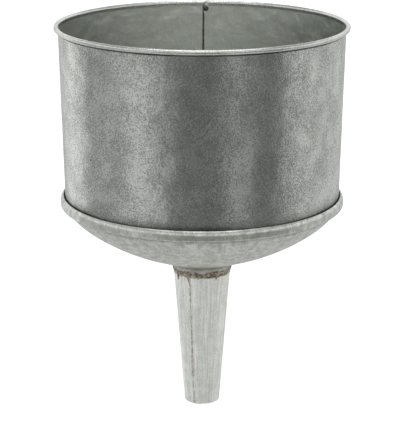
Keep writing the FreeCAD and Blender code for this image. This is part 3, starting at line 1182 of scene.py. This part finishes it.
    def build(self) -> None:
        """Make every piece of the hopper."""
        self.make_wall()
        self.make_seam_solder()
        self.dress_wire(bpy.data.objects["rim_wire"])


# ---- the bowl -----------------------------------------------------------------------


@dataclass(frozen=True)
class Dent:
    """A small knock in the bowl, seen from outside: where it is, how wide and how deep."""

    turn: float
    radius: float
    height: float
    width: float
    depth: float


@dataclass
class Bowl:
    """The pressed bowl: standing ring of the double seam, dish, throat and collar."""

    lathe: Lathe
    finishes: dict[Finish, Material]
    thickness: float = 0.6
    hem: Point = (121.14, 189.2)
    fold_height: float = 193.8
    fold_radius: float = 0.6
    face_radius: float = 5.6
    face_lean: float = 45.0
    corner_radius: float = 1.2
    corner_height: float = 187.1
    crease: Point = (120.9, 185.9)
    dish_arcs: tuple[tuple[float, ...], ...] = ((78.4, -35.5, -54.0, 1.6),
                                                (189.0, -54.0, -68.8, 1.25))
    cone_foot: Point = (33.5, 134.3)
    throat_arc: tuple[float, ...] = (15.2, 111.2, 175.55, 8.5)
    collar_foot: Point = (23.23, 113.32)
    steps: int = 470
    girth: float = 100.0
    joint_steps: int = 420
    joint_girth: float = 120.0
    joint_corners: tuple[Point, ...] = (
        (120.5, 186.3), (120.0, 186.62), (119.55, 187.2), (119.36, 188.0), (119.36, 188.8),
        (119.1, 187.6), (118.85, 185.6), (118.5, 183.4), (119.3, 184.42), (120.45, 186.0))
    dents: list[Dent] = field(default_factory=lambda: [
        Dent(-90.5, 106.0, 170.0, 5.0, 0.7), Dent(-85.5, 110.6, 174.0, 4.0, 0.5),
        Dent(-108.0, 108.0, 172.0, 4.5, 0.5), Dent(-64.0, 92.0, 160.0, 7.0, 0.5),
        Dent(-128.0, 84.0, 156.0, 8.0, 0.5), Dent(35.0, 100.0, 166.0, 6.0, 0.6),
        Dent(120.0, 95.0, 162.0, 7.0, 0.6), Dent(172.0, 108.0, 172.0, 5.0, 0.5),
    ])

    def section(self) -> list[Point]:
        """Draw the bowl's section from the hem, over the seam and down to the collar.

        Returns:
            The closed outline.
        """
        line = MiddleLine(*self.hem).line_to(self.hem[0], self.fold_height, 2.0)
        line.arc(self.fold_radius, 180.0, self.face_lean, 20.0)
        line.arc(self.face_radius, self.face_lean, 0.0, 5.0)
        line.line_to(line.points[-1][0], self.corner_height, 1.2)
        line.arc(self.corner_radius, 0.0, -90.0, 18.0).line_to(*self.crease, step=1.0)
        for arc in self.dish_arcs:
            line.arc(*arc)
        line.line_to(*self.cone_foot, step=3.4).arc(*self.throat_arc)
        return line.line_to(*self.collar_foot, step=2.7).thicken(self.thickness)

    def knock(self, spots: np.ndarray) -> np.ndarray:
        """Push the small dents in.

        Args:
            spots: The bowl's corners.

        Returns:
            The moved corners.
        """
        for dent in self.dents:
            turn = math.radians(dent.turn)
            centre = np.array([dent.radius * math.cos(turn), dent.radius * math.sin(turn),
                               dent.height])
            inwards = -centre * (1.0, 1.0, 0.0) / dent.radius + (0.0, 0.0, 1.2)
            inwards /= np.linalg.norm(inwards)
            away = np.linalg.norm(spots - centre, axis=1) / dent.width
            spots = spots + inwards * (dent.depth * np.exp(-away ** 2 * 2.2))[:, None]
        return spots

    def find_painted_shade(self, spots: np.ndarray) -> np.ndarray:
        """Find where shade is painted: in the crease under the ring and inside the ring's fold.

        Args:
            spots: The bowl's corners.

        Returns:
            The amount of painted shade on each corner.
        """
        radius, turn, height = read_round(spots)
        # Painted shade in the crease under the ring.
        crease = np.hypot(radius - self.crease[0], height - self.crease[1] + 0.2)
        crease = (0.68 * np.exp(-(crease / 1.5) ** 2) + 0.24 * np.exp(-(crease / 4.5) ** 2))
        crease *= (0.8 + 0.2 * ripple(turn, 20.0, 61)) * (radius < 122.4)
        # Painted shade inside the ring's fold.
        fold = 0.8 * np.clip((self.hem[0] + 0.7 - radius) / 0.6, 0, 1) * (height > 187.5)
        return np.maximum(crease, fold)

    def build(self) -> None:
        """Make the bowl and the solder inside its joint."""
        bowl = self.lathe.turn("bowl_sheet_pressing", self.section(),
                               self.finishes[Finish.BOWL], self.steps, wave=0.3,
                               wave_length=34.0, lift=1.0, seed=9.0)
        spots = self.knock(read_points(bowl.data))
        write_points(bowl.data, spots)
        # Painted shade in the crease and the ring's fold.
        set_layer(bowl.data, "painted_shade", self.find_painted_shade(spots))
        dress(bowl, Finish.BOWL, self.girth, "bowl")
        joint = self.lathe.turn("double_seam_solder", self.joint_corners,
                                self.finishes[Finish.SOLDER], self.joint_steps, wave=0.12,
                                wave_length=7.0, seed=21.0)
        dress(joint, Finish.SOLDER, self.joint_girth, "bowl_joint_solder")


# ---- the spout ----------------------------------------------------------------------


class SolderDrops(ShapeTree):
    """Drops of solder strewn along a line on a round sheet."""

    DROP_SHAPE = (0.8, 1.3, 0.3)

    def __init__(self) -> None:
        """Build the tree."""
        super().__init__("solder_drops", Count="Int", Size="Float", Stray="Float", Seed="Int")
        line = self.node("GeometryNodeMeshToCurve", {"Mesh": self.input("Geometry")})
        line = self.node("GeometryNodeResampleCurve",
                         {"Curve": line, "Count": self.input("Count")})
        drop = self.node("GeometryNodeMeshIcoSphere", {"Radius": 1.0, "Subdivisions": 3})
        stray = self.math("MULTIPLY", self.input("Stray"), -1.0)
        reach = [self.node("ShaderNodeCombineXYZ", {0: side, 1: 0.0, 2: side})
                 for side in (stray, self.input("Stray"))]
        offset = self.node("FunctionNodeRandomValue",
                           {"Min": reach[0], "Max": reach[1], "Seed": self.input("Seed")},
                           data_type="FLOAT_VECTOR")
        points = self.node("GeometryNodeSetPosition", {"Geometry": line, "Offset": offset})
        facing = self.node("FunctionNodeAlignRotationToVector",
                           {"Vector": self.level_place()}, axis="Z")
        size = self.node("FunctionNodeRandomValue", {2: 0.35, 3: 1.0, "Seed": self.input("Seed")},
                         data_type="FLOAT").outputs[1]
        wide = self.math("MULTIPLY", size, self.input("Size"))
        scale = self.node("ShaderNodeCombineXYZ", {
            side: self.math("MULTIPLY", wide, share)
            for side, share in enumerate(self.DROP_SHAPE)})
        self.finish(self.node("GeometryNodeInstanceOnPoints", {
            "Points": points, "Instance": drop, "Rotation": facing, "Scale": scale}))


@dataclass
class Spout:
    """The rolled and lapped taper, its seam solder and the solder round its neck."""

    finishes: dict[Finish, Material]
    drops: SolderDrops
    thickness: float = 0.6
    layer: float = 0.65
    height: float = 123.4
    tip_radius: float = 15.5
    top_radius: float = 25.1
    lap_edge: float = -115.0
    lap_bend: float = -94.5
    lap_foot: float = -91.0
    lap_hidden: float = 263.5
    throat: Point = (39.0, 120.1)
    throat_radius: float = 14.9
    drips: tuple[tuple[float, float, float], ...] = (
        (-147.0, 2.6, 5.4), (-118.5, 2.4, 4.2), (-60.0, 2.0, 1.6), (25.0, 2.6, 3.2),
        (140.0, 2.4, 3.8), (95.0, 2.0, 2.0))
    lap_shape: tuple[Point, ...] = (
        (0.55, 0.68), (0.1, 0.70), (-0.35, 0.5), (-0.75, 0.22), (-1.1, 0.03), (-1.0, -0.2),
        (-0.2, -0.2), (0.5, 0.4))
    girth: float = 20.0
    neck_girth: float = 25.0
    rows: int = 72

    def outside(self, height: np.ndarray) -> np.ndarray:
        """Give the radius of the single sheet's outer face at a height."""
        return self.tip_radius + (self.top_radius - self.tip_radius) * height / self.height

    def make_sheet(self) -> None:
        """Roll the sheet once round and lap its edge over the other."""
        turns = [(angle, 0.0) for angle in np.linspace(self.lap_hidden, self.lap_foot, 132)]
        turns += [(self.lap_foot + (self.lap_bend - self.lap_foot) * share,
                   self.layer * share * share * (3 - 2 * share)) for share in (0.25, 0.5, 0.75, 1)]
        turns += [(angle, self.layer) for angle in np.linspace(self.lap_bend, self.lap_edge, 14)[1:]]
        angles, lifts = np.radians([turn for turn, _ in turns]), np.array([up for _, up in turns])
        heights = np.linspace(0.0, self.height, self.rows)
        wave = np.array([[0.10 * (ripple(np.array(level + 9.0 * math.sin(2 * angle)), 42.0, 5)
                                  * math.sin(angle + 0.6)) for angle in angles]
                         for level in heights])
        fade = np.clip(np.minimum(heights, self.height - heights) / 12.0, 0.15, 1.0)[:, None]
        radius = self.outside(heights)[:, None] - self.thickness / 2 + lifts[None, :] + wave * fade
        side = np.stack([np.cos(angles), np.sin(angles), 0 * angles], axis=1)
        side = np.repeat(side[None], self.rows, axis=0)
        middle = side * radius[:, :, None]
        middle[:, :, 2] = heights[:, None]
        dress_shell(sheet_mesh("spout_rolled_sheet", middle, side, self.thickness),
                    self.finishes, Finish.SPOUT, self.girth, "spout")

    def make_lap_solder(self) -> None:
        """Run an uneven fillet of solder down the lap's edge."""
        heights = np.linspace(0.4, self.height - 1.2, 150)
        out = self.outside(heights)
        width = 1.0 + 0.45 * ripple(heights, 9.0, 31) + 0.5 * np.exp(-((heights - 43) / 16) ** 2)
        crown = 0.16 + 0.10 * ripple(heights, 6.0, 32)
        rings = []
        for level, base, wide, bulge in zip(heights, out, np.maximum(width, 0.45), crown):
            ring = []
            for along, lift in self.lap_shape:
                reach = along * wide if along < 0 else along
                extra = bulge if -0.9 < along < 0 and lift > 0 else 0.0
                angle = math.radians(self.lap_edge) + reach / base
                radius = base + lift + extra
                ring.append((radius * math.cos(angle), radius * math.sin(angle), level))
            rings.append(ring)
        dress_shell(bead_mesh("lap_seam_solder", np.array(rings), False), self.finishes,
                    Finish.SOLDER, self.girth, "spout_seam_solder")

    def make_drops(self) -> None:
        """Strew small drops of solder beside the lap."""
        levels = np.linspace(24.0, 62.0, 20)
        angle = math.radians(self.lap_edge + 3.0)
        radii = self.outside(levels) + self.layer * 0.9
        guide = bpy.data.meshes.new("lap_line")
        guide.from_pydata([(radius * math.cos(angle) * MM, radius * math.sin(angle) * MM,
                            level * MM) for radius, level in zip(radii, levels)],
                          [(index, index + 1) for index in range(len(levels) - 1)], [])
        piece = self.drops.apply("lap_solder_drops", guide, Count=9, Size=1.1 * MM,
                                 Stray=0.9 * MM, Seed=4, Material=self.finishes[Finish.SOLDER])
        tidy_shell(piece.data)
        dress(piece, Finish.SOLDER, self.girth)

    def make_neck_solder(self) -> None:
        """Wipe solder round the neck, thick and thin, with a few drips down the spout."""
        angles = np.linspace(-math.pi, math.pi, 420, endpoint=False)
        rings = []
        chance = [ripple(np.degrees(angles), length, seed)
                  for length, seed in ((30.0, 41), (12.0, 42), (6.0, 43))]
        chance = [row * self.close_up(angles) for row in chance]
        drips = sum(depth * np.exp(-((np.degrees(angles) - at) / wide) ** 2)
                    for at, wide, depth in self.drips)
        thick = 1.0 + 0.8 * np.exp(-((np.degrees(angles) + 42.0) / 13.0) ** 2)
        for index, angle in enumerate(angles):
            low = 122.0 - 0.5 * chance[1][index] - 0.25 * chance[2][index] - drips[index]
            lean = math.radians(29.0 + 4.0 * chance[0][index] + 2.0 * chance[2][index]
                                + 5.0 * (thick[index] - 1.0))
            crown = (0.5 + 0.22 * chance[0][index] + 0.12 * chance[2][index]) * thick[index]
            rings.append(self.neck_section(angle, low, lean, crown, drips[index]))
        dress_shell(bead_mesh("neck_wiped_solder", np.array(rings), True), self.finishes,
                    Finish.NECK, self.neck_girth, "neck_solder")

    @staticmethod
    def close_up(angles: np.ndarray) -> np.ndarray:
        """Fade a wave out towards the back, where its two ends meet."""
        return np.clip((math.pi - np.abs(angles)) / 0.25, 0.0, 1.0)

    def neck_section(self, angle: float, low: float, lean: float, crown: float,
                     drip: float) -> list[tuple[float, float, float]]:
        """Draw one section through the neck's solder.

        Args:
            angle: Direction of the section from the axis, in radians.
            low: Height where the solder thins out on the spout.
            lean: How far up the throat it reaches, in radians round the throat's bend.
            crown: How far it stands proud.
            drip: How far a drip runs down here.

        Returns:
            The section's points.
        """
        lap = self.layer * max(0.0, min(1.0, (math.degrees(angle) - self.lap_edge) / 2.0 + 1.0,
                                        (self.lap_foot - math.degrees(angle)) / 3.5))
        foot = float(self.outside(np.array(low))) + lap
        top = (self.throat[0] - self.throat_radius * math.cos(lean),
               self.throat[1] + self.throat_radius * math.sin(lean))
        edge = self.top_radius + lap
        share = min(1.0, drip / 3.0)
        section = [(foot - 0.25, low - 0.1), (foot + 0.12, low + 0.1),
                   (foot + 0.25 + 0.35 * share, low + 0.5 + 0.4 * share),
                   (edge + 0.4 * crown + 0.1, 122.6), (edge + 0.75 * crown, 123.6),
                   (edge + crown, 124.8), ((edge + crown + top[0]) / 2 + 0.25, 126.0),
                   (top[0] + 0.18, top[1] - 0.35), (top[0] - 0.15, top[1] + 0.12),
                   (min(top[0] - 0.4, edge - 0.1), min(top[1] - 0.9, 125.2)), (edge - 0.35, 123.2)]
        return [(radius * math.cos(angle), radius * math.sin(angle), height)
                for radius, height in section]

    def build(self) -> None:
        """Make every piece of the spout."""
        self.make_sheet()
        self.make_lap_solder()
        self.make_drops()
        self.make_neck_solder()


# ---- the studio ---------------------------------------------------------------------


@dataclass
class Studio:
    """A white sweep of floor, soft light all round it, and the camera.

    The bands give the light's strength by direction round the funnel, in degrees.  Each
    layer then takes over from one steepness to another, with its own strength.
    """

    bands: list[Point] = field(default_factory=lambda: [
        (-180, .52), (-158, .60), (-140, .85), (-118, .85), (-106, .40), (-95, .37), (-86, .43),
        (-69, .435), (-61, .54), (-46, .615), (-39, .51), (-32, .355), (-25, .22), (-18, .18),
        (-5, .16), (2, .165), (8, .16), (15, .18), (22, .26), (29, .36), (35, .34), (42, .23),
        (50, .16), (65, .16), (73, .33), (81, .59), (90, .60), (111, .57), (124, .59),
        (140, .65), (158, .60), (180, .52)])
    layers: tuple[tuple[float, float, float], ...] = (
        (0.03, 0.14, 0.88), (0.50, 0.62, 0.42), (0.86, 0.96, 1.9), (-0.42, -0.7, 0.56))
    lens: float = 141.57
    camera_place: tuple[float, float, float] = (0.0, -1.43354, 0.588904)
    camera_tilt: float = 16.153
    floor_reach: float = 4.0
    floor_grey: Colour = (0.5, 0.5, 0.5)
    floor_glow: float = 0.8

    def make_light(self) -> None:
        """Build the soft light: panels round the sides, then the layers above and below."""
        world = bpy.data.worlds.new("studio_light")
        world.use_nodes = True
        tree = NodeWriter(world.node_tree)
        tree.tree.nodes.clear()
        facing = tree.node("ShaderNodeSeparateXYZ",
                           {0: tree.node("ShaderNodeTexCoord").outputs["Generated"]})
        turn = tree.math("ARCTAN2", facing.outputs[0],
                         tree.math("MULTIPLY", facing.outputs[1], -1.0))
        share = tree.math("ADD", tree.math("DIVIDE", turn, math.tau), 0.5)
        panels = tree.node("ShaderNodeValToRGB", {0: share})
        ramp = panels.color_ramp
        while len(ramp.elements) < len(self.bands):
            ramp.elements.new(0.5)
        for stop, (angle, light) in zip(ramp.elements, self.bands):
            stop.position, stop.color = angle / 360.0 + 0.5, opaque((light,) * 3)
        light = panels.outputs[0]
        for begin, end, level in self.layers:
            amount = tree.smooth_step(facing.outputs[2], begin, end)
            light = tree.mix(amount, light, opaque((level,) * 3))
        seen = tree.node("ShaderNodeLightPath").outputs["Is Camera Ray"]
        background = tree.node("ShaderNodeBackground",
                               {"Color": tree.mix(seen, light, opaque(WHITE))})
        tree.node("ShaderNodeOutputWorld", {"Surface": background})
        bpy.context.scene.world = world

    def make_floor(self) -> None:
        """Lay the plain pale floor."""
        mesh = bpy.data.meshes.new("floor")
        mesh.from_pydata([(self.floor_reach * x, self.floor_reach * y, 0)
                          for x, y in ((-1, -1), (1, -1), (1, 1), (-1, 1))], [], [(0, 1, 2, 3)])
        floor = link_object("floor", mesh)
        tree = SurfaceTree("floor_paper")
        shader = tree.node("ShaderNodeBsdfPrincipled", {
            "Base Color": opaque(self.floor_grey), "Roughness": 0.9,
            "Emission Color": opaque(WHITE), "Emission Strength": self.floor_glow})
        tree.node("ShaderNodeOutputMaterial", {"Surface": shader})
        mesh.materials.append(tree.material)
        floor.visible_glossy = False

    def make_camera(self) -> None:
        """Set the camera up in front, a little above the rim."""
        camera = bpy.data.cameras.new("camera")
        camera.lens, camera.sensor_width = self.lens, 36.0
        camera.clip_start, camera.clip_end = 0.05, 20.0
        stand = bpy.data.objects.new("camera", camera)
        stand.location = self.camera_place
        stand.rotation_euler = (math.radians(90.0 - self.camera_tilt), 0.0, 0.0)
        bpy.context.scene.collection.objects.link(stand)
        bpy.context.scene.camera = stand

    def build(self) -> None:
        """Make the light, the floor and the camera."""
        self.make_light()
        self.make_floor()
        self.make_camera()
        bpy.context.scene.view_settings.view_transform = "Standard"


def main() -> None:
    """Build the funnel's looks and the studio round it."""
    logging.basicConfig(level=logging.INFO, format="%(name)s: %(message)s")
    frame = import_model()
    log.info("frame: %d CAD nodes", len(frame["nodes"]))
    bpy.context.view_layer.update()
    finishes = make_finishes()
    lathe = Lathe()
    Hopper(lathe, finishes).build()
    Bowl(lathe, finishes).build()
    Spout(finishes, SolderDrops()).build()
    Studio().build()


if __name__ == "__main__":
    main()
